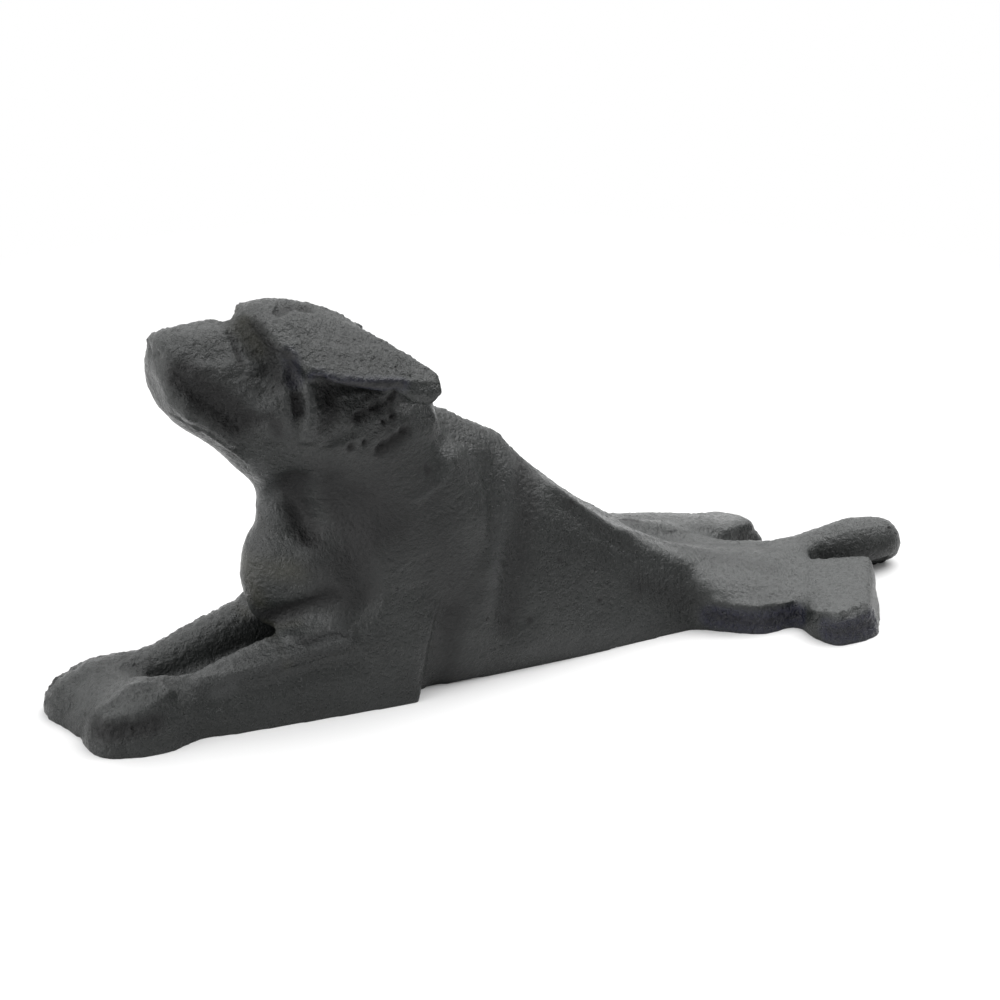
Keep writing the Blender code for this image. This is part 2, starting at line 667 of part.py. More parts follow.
def model_trunk(clay):
    """A ridge and a hollow behind each shoulder blade, and grooves behind the elbows and by the far thigh."""
    behind = ELBOW_X + 22.6
    high = WITHERS_HEIGHT
    hollow = [(behind, 0.78 * high), (behind, 0.61 * high), (behind - 0.4, 0.42 * high)]
    clay.stroke("side", hollow + [(behind - 1, 0.23 * high)], 8, -1.1)
    ridge = [(behind - 5, 0.82 * high), (behind - 6, 0.65 * high), (behind - 6.4, 0.46 * high)]
    clay.stroke("side", ridge, 6, 0.5)
    high = ELBOW_HEIGHT
    groove = [(ELBOW_X + 5.4, 1), (ELBOW_X + 6, 0.42 * high), (ELBOW_X + 8, 0.9 * high)]
    clay.stroke("side", groove, 4, -0.8)
    clay.stroke("top", [(RUMP_X - 9, 4.5), (RUMP_X + 5, 8)], 2.8, -0.9, sides=(1,))


def model_paws(clay):
    """Three toes to a paw, parted by two grooves."""
    for toe in (-0.16, 0.16):
        middle = PAW_SPREAD + toe * PAW_WIDTH
        clay.stroke("top", [(1.6, middle), (4, middle), (7, middle)], 1.6, -0.5)


def doorstop_casting():
    """The whole casting, thinned to few facets and ground flat underneath."""
    skin = run_together(masses)
    clay = Clay(skin)
    model_face(clay)
    model_neck(clay)
    model_trunk(clay)
    model_paws(clay)
    clay.finish()
    dog = bpy.data.objects.new("dog_casting", skin)
    skin.name = "dog_casting"
    doorstop.objects.link(dog)

    thin = dog.modifiers.new("thin out", "DECIMATE")
    thin.ratio = FACET_SHARE
    thin.use_collapse_triangulate = True

    block = bmesh.new()
    bmesh.ops.create_cube(block, size=1.0)
    bmesh.ops.scale(block, vec=(2 * LENGTH * MM, 2 * LENGTH * MM, 4 * SUNK * MM), verts=block.verts)
    bmesh.ops.translate(block, vec=(0, 0, -2 * SUNK * MM), verts=block.verts)
    grind = dog.modifiers.new("grind flat", "BOOLEAN")
    grind.operation = "DIFFERENCE"
    grind.object = keep("floor_cutter", block, cutters)
    return dog


def black_paint():
    """Satin black paint over cast iron."""
    paint = bpy.data.materials.new("black_painted_iron")
    paint.use_nodes = True
    shader = paint.node_tree.nodes["Principled BSDF"]
    shader.inputs["Base Color"].default_value = (0.035, 0.038, 0.039, 1.0)
    shader.inputs["Roughness"].default_value = 0.5
    shader.inputs["Metallic"].default_value = 0.0
    return paint


for old in list(bpy.data.objects):
    bpy.data.objects.remove(old, do_unlink=True)

doorstop = bpy.data.collections.new("dog_doorstop")
masses = bpy.data.collections.new("masses")
cutters = bpy.data.collections.new("cutters")
for group in (doorstop, masses, cutters):
    bpy.context.scene.collection.children.link(group)

head()
muzzle_planes()
neck()
trunk()
back_crest()
near_hind_leg()
far_hind_leg()
tail()
paw_bridge()
for side_of_dog in (-1, 1):
    foreleg(side_of_dog)
    elbow(side_of_dog)
    shoulder(side_of_dog)
    ear(side_of_dog)
dog_casting = doorstop_casting()
dog_casting.data.materials.append(black_paint())
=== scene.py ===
"""The looks of a cast iron doorstop, a lying dog: its sand-cast skin, its black paint and a studio.

The casting itself comes packed and is not changed. Its skin is a finer copy, on which the modelling that
a foundry pattern carries is finished: eye hollows, lips, folds, toes, pits and the line left by the
mould. Sizes are in millimetres, along the dog from the tips of its forepaws, across it from its middle
plane and up from the floor.
"""

import math

import bmesh
import bpy
import numpy as np
from mathutils import Matrix, Vector, noise
from mathutils.bvhtree import BVHTree


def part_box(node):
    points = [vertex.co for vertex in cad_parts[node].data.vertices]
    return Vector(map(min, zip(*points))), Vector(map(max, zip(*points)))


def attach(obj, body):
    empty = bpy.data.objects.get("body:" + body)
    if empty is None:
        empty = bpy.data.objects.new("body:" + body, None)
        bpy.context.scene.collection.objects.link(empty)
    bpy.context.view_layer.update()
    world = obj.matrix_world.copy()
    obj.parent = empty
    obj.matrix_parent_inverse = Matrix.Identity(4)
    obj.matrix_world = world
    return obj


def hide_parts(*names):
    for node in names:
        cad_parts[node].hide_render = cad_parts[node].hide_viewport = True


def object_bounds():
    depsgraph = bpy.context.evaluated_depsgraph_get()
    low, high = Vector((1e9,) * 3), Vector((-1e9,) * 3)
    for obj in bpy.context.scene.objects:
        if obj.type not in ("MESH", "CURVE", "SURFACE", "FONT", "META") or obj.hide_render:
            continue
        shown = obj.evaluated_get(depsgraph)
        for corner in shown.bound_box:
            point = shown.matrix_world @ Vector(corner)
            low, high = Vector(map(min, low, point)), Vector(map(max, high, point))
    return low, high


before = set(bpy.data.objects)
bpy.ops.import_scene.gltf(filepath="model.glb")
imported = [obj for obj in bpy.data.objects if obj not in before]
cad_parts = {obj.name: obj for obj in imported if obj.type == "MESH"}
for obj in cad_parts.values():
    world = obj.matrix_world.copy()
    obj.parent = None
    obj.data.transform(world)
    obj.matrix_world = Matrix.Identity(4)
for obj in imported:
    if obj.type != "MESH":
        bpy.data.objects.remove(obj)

bl_info = {
    "name": "Cast Dog Doorstop",
    "version": (1, 0, 0),
    "blender": (4, 5, 0),
    "location": "View3D > Sidebar > Doorstop",
    "description": "Gives the cast dog its sand-cast skin and black paint, and sets it in a pale studio",
    "category": "Object",
}

MM = 0.001
CASTING = "dog_casting"
PAINT = "black_painted_iron"
# Marks on the skin: rough makes the grain stronger; the dust mark also holds painted top light and
# painted highlights; the mark for rubbed paint also holds painted highlights; dark is painted shade in
# hollows, pits and creases; the blue mark is a painted blue reflection that also makes the paint
# glossier; olive is a stain.
MARKS = ("rough", "dust_and_painted_light", "worn_and_painted_highlight", "dark", "blue_reflection_and_gloss", "olive")
FLOOR_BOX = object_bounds()
LOW, HIGH = (np.array(corner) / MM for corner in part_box(CASTING))

# The sides that a stroke is made on: the dog's left, its right, or both.
LEFT = (-1,)
RIGHT = (1,)
BOTH = (-1, 1)

# Where a look at the skin starts from, in millimetres, and how close the places along a stroke lie.
SIDE_START = 90.0
TOP_START = 200.0
FRONT_START = -60.0
TOWARDS_SKIN = 70.0
STROKE_STEP = 1.2

# Corners of the casting closer than this, in metres, become one.
MERGE_GAP = 0.01 * MM

# The skin. Sizes, heights and depths are in millimetres.
EVENING_PASSES = 9
SWELL = 0.52
SOFTENING = 0.6
GRAIN_SIZE = 0.9
GRAIN_FADE = 0.8
GRAIN_STEP = 2.0
GRAIN_OCTAVES = 3
GRAIN_ON_ROUGH = 2.5
LUMP_HEIGHT = 0.08
LUMP_SIZE = 4.0
LUMP_START = 40.0
SMOOTH_FOOT = 1.5
GROUND_OFF = 0.35
SHARP_EDGE = math.radians(50)

# The skin is lightened where it faces up, partly as dust and partly as painted top light: from the slope
# below, and in full where it faces up by the run more. Behind the waist it is lightened more, and is
# less rough there.
DUST_AND_TOP_LIGHT_SLOPE = 0.4
DUST_AND_TOP_LIGHT_RUN = 0.4
DUST_AND_TOP_LIGHT_IN_FRONT = 0.5
DUST_AND_TOP_LIGHT_ADDED_BEHIND = 0.4
ROUGH_IN_FRONT = 0.6
ROUGH_LOST_BEHIND = 0.3
WAIST_X = 85
WAIST_RUN = 30

# Sizes of the paint's patterns, as features in a metre, and the depth of a pinhole in millimetres.
PATCHES = 60.0
PEBBLES = 1300.0
SAND = 3600.0
PINHOLES = 130.0
PINHOLE_DEPTH = 0.3

# The studio, in metres and watts. The sweep is brightest towards SWEEP_SIDE, and its light rises
# from dim to bright between SWEEP_START and SWEEP_END, where 1 faces that side and -1 faces away.
SWEEP_SIDE = (-0.55, 0.6, 0.58)
SWEEP_START = -0.5
SWEEP_END = 0.7
DIM_SIDE = 0.06
BRIGHT_SIDE = 1.35
FLOOR_RADIUS = 0.26
FLOOR_SEGMENTS = 96
FLOOR_GAP = 0.02 * MM
FLOOR_WHITE = 0.8
FADE_START = 0.1
FADE_END = 0.9 * FLOOR_RADIUS
LEAST_GLOW = 0.05
SOFTBOXES = {
    "top_softbox": ((0.55, 0.0, 0.85), 1.0, 11.0),
    "left_softbox": ((-0.95, -0.1, 0.3), 0.7, 4.4),
}

# The camera aims at a spot over the middle of the base, and its frame is shifted a little.
AIM = Vector((0, 0, 0.020))
CAMERA_DISTANCE = 1.1
SENSOR_WIDTH = 36.0
LENS = 205.8
SHIFT_ACROSS = 0.0066
SHIFT_UP = 0.0492


class Skin:
    """The points of the dog's skin in its own millimetres, and the tools that press and raise them."""

    def __init__(self, mesh):
        self.mesh = mesh
        count = len(mesh.vertices)
        self.points = np.empty(count * 3)
        mesh.vertices.foreach_get("co", self.points)
        self.points = self.points.reshape(-1, 3) / MM
        self.points[:, 0] -= LOW[0]
        edges = np.empty(len(mesh.edges) * 2, np.int64)
        mesh.edges.foreach_get("vertices", edges)
        self.edges = edges.reshape(-1, 2)
        self.faces = [tuple(face.vertices) for face in mesh.polygons]
        self.links = np.maximum(np.bincount(self.edges.ravel(), minlength=count), 1)[:, None]
        self.marks = {name: np.zeros(count) for name in MARKS}
        self.store()

    def store(self):
        """Writes the points to the mesh, and reads its normals and a tree for finding places on it."""
        places = self.points.copy()
        places[:, 0] += LOW[0]
        self.mesh.vertices.foreach_set("co", (places * MM).ravel())
        self.mesh.update()
        self.normals = np.empty(len(self.points) * 3)
        self.mesh.vertices.foreach_get("normal", self.normals)
        self.normals = self.normals.reshape(-1, 3)
        self.tree = BVHTree.FromPolygons([Vector(p) for p in self.points], self.faces)

    def evened(self):
        """For each point, the middle of the points that an edge links it to."""
        count = len(self.points)
        total = np.zeros((count, 3))
        for axis in range(3):
            total[:, axis] += np.bincount(self.edges[:, 0], self.points[self.edges[:, 1], axis], count)
            total[:, axis] += np.bincount(self.edges[:, 1], self.points[self.edges[:, 0], axis], count)
        return total / self.links

    def relax(self, passes, swell):
        """Evens the skin out, and swells it back by as much so that it keeps its size."""
        for step in range(2 * passes):
            share = 0.5 if step % 2 == 0 else -swell
            self.points += share * (self.evened() - self.points)
        self.store()

    def soften(self, view, path, width, passes, sides=BOTH):
        """Evens the skin out along a path only, in full over the inner half of its width."""
        for side in sides:
            share = np.minimum(2 * self.reach(view, path, side, width), 1)[:, None]
            for _ in range(passes):
                self.points += SOFTENING * share * (self.evened() - self.points)

    def seat(self, depth):
        """Grinds the underside flat, and keeps the skin inside the casting's own box."""
        self.points[self.points[:, 2] < depth, 2] = 0.0
        self.points = np.clip(self.points, LOW - [LOW[0], 0, 0], HIGH - [LOW[0], 0, 0])
        self.store()

    def found(self, view, spot, side):
        """The place on the skin that is seen at a spot from the side, from above or from the front."""
        a, b = spot
        start, way = {
            "side": ((a, side * SIDE_START, b), (0, -side, 0)),
            "top": ((a, side * b, TOP_START), (0, 0, -1)),
            "front": ((FRONT_START, side * a, b), (1, 0, 0)),
        }[view]
        place = self.tree.ray_cast(Vector(start), Vector(way))[0]
        if place is None:
            place = self.tree.find_nearest(Vector(start) + Vector(way) * TOWARDS_SKIN)[0]
        return np.array(place)

    def reach(self, view, path, side, width):
        """How near each point is to a path drawn on the skin, as a share from 0 at width to 1 on it."""
        spots = np.array(path, float)
        dense = [spots[0]]
        for start, end in zip(spots, spots[1:]):
            parts = max(1, int(np.linalg.norm(end - start) / STROKE_STEP))
            dense += [start + (end - start) * (k + 1) / parts for k in range(parts)]
        line = np.array([self.found(view, spot, side) for spot in dense])
        if len(line) == 1:
            line = np.vstack([line, line + 1e-3])
        low, high = line.min(0) - width, line.max(0) + width
        inside = np.all((self.points > low) & (self.points < high), axis=1)
        near = self.points[inside]
        nearest = np.full(len(near), np.inf)
        for start, end in zip(line, line[1:]):
            run = end - start
            share = np.clip((near - start) @ run / (run @ run + 1e-12), 0, 1)
            nearest = np.minimum(nearest, np.linalg.norm(near - start - share[:, None] * run, axis=1))
        share = np.zeros(len(self.points))
        share[inside] = np.clip(1 - nearest / width, 0, 1)
        return share

    def draw(self, view, path, width, rise, keen=0.0, sides=BOTH):
        """Raises or presses the skin along a path. keen goes from 0, a soft swell, to 1, a cut."""
        for side in sides:
            share = self.reach(view, path, side, width)
            soft = share * share * (3 - 2 * share)
            profile = (1 - keen) * soft + keen * share**2
            self.points += rise * profile[:, None] * self.normals

    def mark(self, name, view, path, width, strength=1.0, sides=BOTH):
        """Marks the skin along a path, for the paint and for the grain."""
        for side in sides:
            share = self.reach(view, path, side, width)
            self.marks[name] += strength * share * share * (3 - 2 * share)

    def grain(self, height):
        """The pebbled skin that the moulding sand leaves, stronger where the skin is marked rough."""
        fine = np.array([
            noise.fractal(Vector(p / GRAIN_SIZE), GRAIN_FADE, GRAIN_STEP, GRAIN_OCTAVES)
            for p in self.points
        ])
        slow = np.array([noise.noise(Vector(p / LUMP_SIZE + LUMP_START)) for p in self.points])
        rough = 1 + GRAIN_ON_ROUGH * np.clip(self.marks["rough"], 0, 1)
        above_foot = np.clip(self.points[:, 2] / SMOOTH_FOOT, 0, 1)
        move = height * fine * rough + LUMP_HEIGHT * slow
        self.points += (move * above_foot)[:, None] * self.normals
        self.store()

    def settle_dust_and_top_light(self):
        """Lightens what faces up, partly as dust and partly as painted top light, most strongly but
        least pebbled on the low rear of the dog.
        """
        up = np.clip((self.normals[:, 2] - DUST_AND_TOP_LIGHT_SLOPE) / DUST_AND_TOP_LIGHT_RUN, 0, 1)
        rear = np.clip((self.points[:, 0] - WAIST_X) / WAIST_RUN, 0, 1)
        self.marks["dust_and_painted_light"] += up * (DUST_AND_TOP_LIGHT_IN_FRONT + DUST_AND_TOP_LIGHT_ADDED_BEHIND * rear)
        self.marks["rough"] += (ROUGH_IN_FRONT - ROUGH_LOST_BEHIND * rear) * up

    def keep_marks(self):
        """Stores the marks with the mesh, for the paint to read."""
        for name, share in self.marks.items():
            stored = self.mesh.attributes.new(name, "FLOAT", "POINT")
            stored.data.foreach_set("value", np.clip(share, 0, 1))


def pitted(skin, spots, width, depth, sides=LEFT):
    """A chain of pits, wider and narrower by turns, at spots seen from the side, blackened with painted
    shade.
    """
    for number, spot in enumerate(spots):
        reach = width * (0.8 + 0.4 * (number % 2))
        skin.draw("side", [spot], reach, -depth, keen=0.5, sides=sides)
        skin.mark("dark", "side", [spot], reach + 0.2, 2.0, sides=sides)


def lumped(skin, spots, width, height):
    """Small lumps on both sides of the dog, each at a spot seen from the side."""
    for spot in spots:
        skin.draw("side", [spot], width, height)


def model_muzzle(skin):
    """Nose, nostrils, lips, the edge above them, the jaw and the line that the mould left under it, with
    painted highlights on the roof and at the corner of the mouth, and painted shade along the lip and
    under the mouth.
    """
    snout = [(2.6, 71), (3.2, 67), (3, 62.6)]
    skin.soften("front", snout, 4.6, 20)
    skin.draw("front", [(0, 66.6), (2.4, 66)], 4.6, -0.4)
    nose_edge = [(20.6, 75.2), (22.4, 75.6), (23.4, 74.6)]
    skin.draw("side", nose_edge, 1.4, 0.3, keen=0.6)
    nostril = [(0.9, 73.2), (1.9, 74.0)]
    skin.draw("front", nostril, 1.2, -0.6, keen=0.6)
    roof = [(23.5, 75), (27, 73.4), (31, 72.2), (34, 71)]
    skin.mark("rough", "side", roof, 4.6, 1.2)
    # Painted highlight on the roof of the muzzle.
    skin.mark("worn_and_painted_highlight", "side", roof, 4.0, 0.7)
    ledge = [(21.2, 74.6), (22.6, 72.6), (25.2, 70.4), (28.6, 69.4), (33.2, 68.6)]
    skin.draw("side", ledge, 1.7, 0.4, keen=0.4)
    lip = [(23.4, 70.4), (25.4, 67.6), (27.6, 65.6), (30.2, 63), (33, 60.2)]
    skin.draw("side", lip, 3.2, -0.6)
    # Painted shade along the lip.
    skin.mark("dark", "side", [(22.8, 70.6), *lip], 5.2, 1.2)
    skin.mark("rough", "side", lip, 5.0, 1.2)
    skin.mark("rough", "side", [(25, 71), (29, 67), (33, 63)], 7.0, 1.2)
    # Painted shade on the side of the muzzle.
    skin.mark("dark", "side", [(24.4, 71), (28.4, 67.4), (32.4, 64)], 4.4, 0.5)
    jaw_edge = [(24.3, 63.6), (28, 60.7), (32.7, 56.3)]
    skin.draw("side", jaw_edge, 1.8, 0.35, keen=0.3)
    seam = [(22.2, 61.9), (24.6, 60.3), (27.7, 58.5), (30.6, 55.9), (33.4, 53.5), (36.4, 50.6)]
    skin.draw("side", seam, 0.9, 0.32, keen=1.0, sides=LEFT)
    corner = [(33.2, 66.9), (35.1, 65.4), (36.4, 64.6), (37.5, 63.6)]
    lumped(skin, corner, 1.5, 0.5)
    glints = [(34, 67.4), (35.4, 66.2), (37.4, 64.8), (38.6, 64.6), (36.4, 63.4)]
    lumped(skin, glints, 1.1, 0.4)
    # Painted glints on these lumps.
    for spot in glints:
        skin.mark("dust_and_painted_light", "side", [spot], 1.3, 0.8)
    skin.mark("rough", "side", corner, 4.0, 1.6)
    # Painted highlight on the corner of the mouth.
    skin.mark("worn_and_painted_highlight", "side", corner, 3.0, 1.0)
    under = [(34.6, 61.4), (36.6, 61), (38, 61.7), (39.2, 60.4), (39.7, 58.2)]
    skin.draw("side", under, 1.9, -0.45)
    # Painted shade under the mouth.
    skin.mark("dark", "side", under, 2.2, 0.9)


def model_brow(skin):
    """Eye hollows, the small lumps of the eyes, the edge of the brow, and the cheeks behind them, with
    painted shade in the hollows, cracks and creases, a painted blue reflection at the temple and a
    painted highlight on the cheek.
    """
    hollow = [(36, 77.4), (37.5, 76), (38, 74.5), (38.6, 72.4), (39.2, 69.6)]
    skin.draw("side", hollow, 3.2, -0.95)
    # Painted shade in the eye hollow.
    skin.mark("dark", "side", hollow, 3.4, 0.25)
    skin.mark("rough", "side", hollow, 4.6, 1.4)
    skin.mark("olive", "side", [(36.6, 77.2), (37.8, 75.4), (38.6, 73.2)], 3.4, 1.0)
    # Painted shade below the brow.
    skin.mark("dark", "side", [(38.8, 77), (40, 74), (40.6, 70.6), (40.4, 67.4)], 2.6, 0.7)
    crack = [(35, 77.6), (34.6, 75.8), (34.6, 73.8), (34.2, 71.6)]
    skin.draw("side", crack, 1.2, -0.35, keen=0.5)
    # Painted shade in the crack.
    skin.mark("dark", "side", crack, 1.3, 1.0)
    eye = [(32.8, 73.8), (33.6, 72.6), (36, 73.6), (36.6, 71.6)]
    lumped(skin, eye, 1.1, 0.35)
    brow = [(36.8, 78.6), (39.6, 78), (40.6, 76), (41, 74.4), (41.6, 73)]
    skin.draw("side", brow, 1.6, 0.4, keen=0.5)
    temple = [(42.6, 72.8), (43.2, 70.4), (43.4, 67.9)]
    skin.draw("side", temple, 2.0, -0.45)
    # Painted shade and a painted blue reflection in the temple.
    skin.mark("dark", "side", temple, 2.4, 0.9)
    skin.mark("blue_reflection_and_gloss", "side", temple, 2.6, 0.8)
    pit = [(43, 65), (43.3, 63.8), (43.2, 62.4)]
    skin.draw("side", pit, 1.7, -0.6)
    # Painted shade in the pit.
    skin.mark("dark", "side", pit, 1.9, 1.4)
    skin.mark("rough", "side", pit, 2.6, 1.5)
    cheek = [(40.8, 66), (41.2, 62), (41, 58)]
    skin.draw("side", cheek, 1.4, 0.3)
    # Painted highlight on the cheek.
    skin.mark("worn_and_painted_highlight", "side", cheek, 1.6, 0.4)
    crease = [(43.7, 3.4), (46, 2.2), (47.3, 1.2), (48.9, 2.3), (50.6, 1.6)]
    skin.draw("top", crease, 1.2, -0.5, keen=0.5, sides=LEFT)
    # Painted shade in the crease.
    skin.mark("dark", "top", crease, 1.6, 0.8, sides=LEFT)


def model_ears(skin):
    """The crisp lower edge of each ear, the hollow under it and the rough iron below its tip, with
    painted shade under the edge and in the hollows, pits and cracks, a painted blue reflection under the
    edge and a painted highlight near the tip.
    """
    rim = [(44.2, 71.2), (47.1, 69.7), (51.5, 68), (56.4, 67.5), (62.4, 66.4), (69.6, 64.7)]
    skin.draw("side", rim, 1.2, 0.3, keen=0.6)
    skin.mark("rough", "side", [(46, 73), (52, 70.6), (58, 69.6), (64, 68)], 3.6, 0.9)
    underside = [(47.4, 68), (50.5, 66.2), (53.6, 65.2), (58.6, 64), (61.6, 64.2)]
    skin.draw("side", underside, 2.3, -0.85)
    # Painted shade under the ear's edge.
    skin.mark("dark", "side", underside, 1.8, 0.3)
    band = [(46.6, 69), (50, 67.6), (54, 66.8), (58, 66.4), (62.5, 65.6)]
    skin.mark("dark", "side", band, 1.5, 1.2)
    # A painted blue reflection on the band under the edge.
    skin.mark("blue_reflection_and_gloss", "side", band, 2.4, 0.9)
    # Painted highlight near the tip.
    skin.mark("worn_and_painted_highlight", "side", [(66, 64.4), (69, 63.4)], 2.0, 0.5)
    near_tip = [(65.4, 62.4), (68, 61.6)]
    skin.draw("side", near_tip, 2.8, 1.0, sides=LEFT)
    far_ear = [(58, 14), (62, 14), (66, 13), (69, 12)]
    skin.soften("top", far_ear, 5.0, 24, sides=RIGHT)
    skin.draw("top", [(60, 14), (64, 14), (68, 13)], 6.0, -0.5, sides=RIGHT)
    swell = [(53, 63.6), (57, 62.8), (61, 62)]
    skin.draw("side", swell, 3.0, 0.8)
    # Painted shade in the hollow under the ear.
    skin.mark("dark", "side", [(48, 65.4), (50, 63), (50.6, 60.6)], 3.0, 0.5)
    skin.mark("rough", "side", [(54, 61.6), (58, 60.6), (63, 60)], 5.0, 0.9)
    # Painted shade below the tip.
    skin.mark("dark", "side", [(59.6, 60.4), (63, 60.2), (65.4, 61.8)], 2.6, 0.7)
    pitted(skin, ((54.9, 59.3), (55.8, 59.5), (56.9, 59.5)), 1.5, 1.6)
    pitted(skin, ((58.3, 60.3), (59.4, 60.7), (61.2, 60.4), (62.9, 60.8), (64.4, 61.6)), 1.2, 1.2)
    low_row = [(59.3, 52.1), (60.2, 52.7), (61.4, 52.5), (62.6, 53.4), (63.7, 53.7), (65, 54.4)]
    pitted(skin, low_row, 1.4, 1.5)
    pitted(skin, ((56.2, 54.3), (53.3, 54), (60.4, 57.4), (62.6, 57.8), (57.6, 62)), 1.0, 1.0)
    cracks = ([(54, 59.4), (58.3, 60.3), (64.4, 61.6)], [(59.3, 52.1), (62, 53), (65, 54.4)])
    for crack in cracks:
        skin.soften("side", crack, 2.0, 1, sides=LEFT)
        # Painted shade in the cracks.
        skin.mark("dark", "side", crack, 1.3, 1.0, sides=LEFT)


def model_neck(skin):
    """Folds of the neck, with painted highlights on the folds and on the strip in front of the throat,
    and painted shade in the hollows between throat, breast and arm.
    """
    fold = [(45.9, 67.1), (45.6, 62.8), (44.8, 56.9)]
    skin.draw("side", fold, 2.2, 0.5)
    # Painted highlight on the fold.
    skin.mark("worn_and_painted_highlight", "side", fold, 2.4, 0.5)
    furrow = [(50.4, 65), (50.2, 62.3), (48.6, 59.6)]
    skin.draw("side", furrow, 2.6, -0.5)
    # Painted shade in the furrow.
    skin.mark("dark", "side", furrow, 3.0, 0.7)
    skin.mark("rough", "side", furrow, 4.0, 1.0)
    skin.draw("side", [(47, 54.5), (50.2, 55.8), (53.1, 56.9)], 1.4, -0.3)
    skin.draw("side", [(52.4, 54.2), (54.4, 55.5)], 1.4, 0.25)
    throat = [(44.6, 47), (45.6, 42.5), (46.9, 38.5), (48, 34.8)]
    skin.soften("side", [(44.8, 44), (45.8, 40), (46.8, 36.6), (48, 33.6)], 5.0, 16)
    skin.draw("side", throat, 3.4, -0.7)
    skin.soften("side", [(41.6, 49.6), (43, 46.6), (44.2, 43.6)], 5.0, 10)
    # Painted shade in the throat groove.
    skin.mark("dark", "side", throat, 4.4, 1.3)
    # Painted light on the strip in front of the throat.
    skin.mark("worn_and_painted_highlight", "side", [(38, 50), (40.6, 46), (42, 42), (42.6, 38)], 3.0, 1.2)
    skin.mark("dust_and_painted_light", "side", [(36.6, 50), (39.4, 46.4), (41.4, 42), (41.6, 38)], 3.0, 0.9)
    # Broad painted shade over the breast, the arm and the side of the neck.
    skin.mark("dark", "side", [(50.4, 46.5), (56.1, 41.7), (59.6, 35.4)], 10.0, 0.9)
    skin.mark("dark", "side", [(62, 50), (66, 42), (70, 34), (74, 26), (76, 18)], 11.0, 0.5)
    skin.draw("front", [(0, 38.4), (3.2, 37.8)], 4.4, 1.2)
    skin.soften("front", [(0, 44), (0, 40), (0, 36.6)], 5.4, 16)
    nape = ([(71.5, 57), (73.4, 53), (75, 49.6)], [(72.6, 49), (74.4, 45), (71, 42), (67, 40.6)])
    for line in nape:
        skin.draw("side", line, 1.6, 0.35, keen=0.3)
        # Painted highlight on the lines of the nape.
        skin.mark("worn_and_painted_highlight", "side", line, 1.8, 0.5)
    pitted(skin, ((69.4, 46.4), (69.8, 45.4)), 0.9, 0.4)
    valley = [(54, 41), (54.3, 36), (55, 31), (55.8, 26), (56.2, 22)]
    skin.draw("side", valley, 5.0, -0.4)
    # Painted shade in the valley.
    skin.mark("dark", "side", valley, 6.0, 0.9)


def model_shoulders(skin):
    """The rear edge of each shoulder blade, the hollow behind it and the flank, with a painted highlight
    on the blade, painted shade behind it, behind the elbow and at the waist, and a painted reflection
    low on the flank.
    """
    blade = [(90.4, 43.4), (90, 39), (88, 34.2), (85.9, 29.3), (83.8, 24.3), (82.2, 16.7)]
    skin.draw("side", blade, 4.0, 0.45)
    # Painted highlight on the blade's edge.
    skin.mark("worn_and_painted_highlight", "side", blade, 3.6, 0.5)
    behind = [(94.6, 40), (93.4, 33.1), (91.5, 27.9), (89.3, 22.7), (87.5, 17.1), (86.4, 11.3)]
    skin.draw("side", behind, 4.4, -0.5)
    # Painted shade behind the blade.
    skin.mark("dark", "side", behind, 4.4, 0.65)
    skin.mark("rough", "side", behind, 5.0, 0.6)
    # Painted shade behind the elbow.
    skin.mark("dark", "side", [(72.6, 15), (73.4, 9), (75, 2)], 6.0, 0.6)
    # A painted reflection of the floor low on the flank.
    skin.mark("worn_and_painted_highlight", "side", [(90, 4), (104, 3.4), (118, 3)], 4.0, 0.4)
    waist = [(116, 12), (122, 9), (127, 6)]
    # Painted shade at the waist.
    skin.mark("dark", "side", waist, 5.0, 0.55)
    skin.mark("rough", "side", waist, 6.0, 0.9)
    flank_pits = [(79.6, 42.6), (98.4, 20.8), (84, 13.2), (91, 10.4), (107, 10.7), (103, 30)]
    pitted(skin, flank_pits, 0.7, 0.4)


